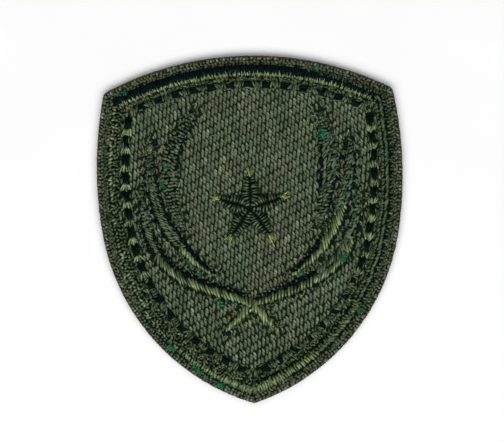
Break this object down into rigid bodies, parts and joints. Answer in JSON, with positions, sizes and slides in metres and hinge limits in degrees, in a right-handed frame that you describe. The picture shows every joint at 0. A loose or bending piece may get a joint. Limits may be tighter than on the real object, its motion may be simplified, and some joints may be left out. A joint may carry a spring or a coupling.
{
  "type": "embroidered iron-on patch",
  "caption": "Shield-shaped iron-on cloth patch with a raised satin border, a dashed stitch line, a laurel wreath of crossed stems and a plain star.",
  "frame": {"origin": "middle of the patch's outline, on the surface that its back lies on", "axes": "+Z out of the embroidered face, +Y from the shield's tip to its top edge, +X to the right"},
  "size_m": [0.045, 0.0512, 0.0017],
  "materials": {
    "heat_seal_film": "translucent heat-seal film",
    "twill_cloth": "grey-olive twill",
    "border_thread": "glossy embroidery thread, dark olive green",
    "dash_thread": "glossy embroidery thread, near-black green",
    "wreath_thread": "glossy embroidery thread, yellow olive",
    "star_thread": "glossy embroidery thread, dark olive green"
  },
  "bodies": {
    "root": {"adhesive_film": "heat_seal_film", "twill_ground": "twill_cloth", "border_ridge": "border_thread", "dash_row": "dash_thread", "stem_left": "wreath_thread", "stem_right": "wreath_thread", "outer_leaf_left": "wreath_thread", "outer_leaf_right": "wreath_thread", "inner_leaf_left": "wreath_thread", "inner_leaf_right": "wreath_thread", "centre_star": "star_thread"}
  },
  "joints": []
}
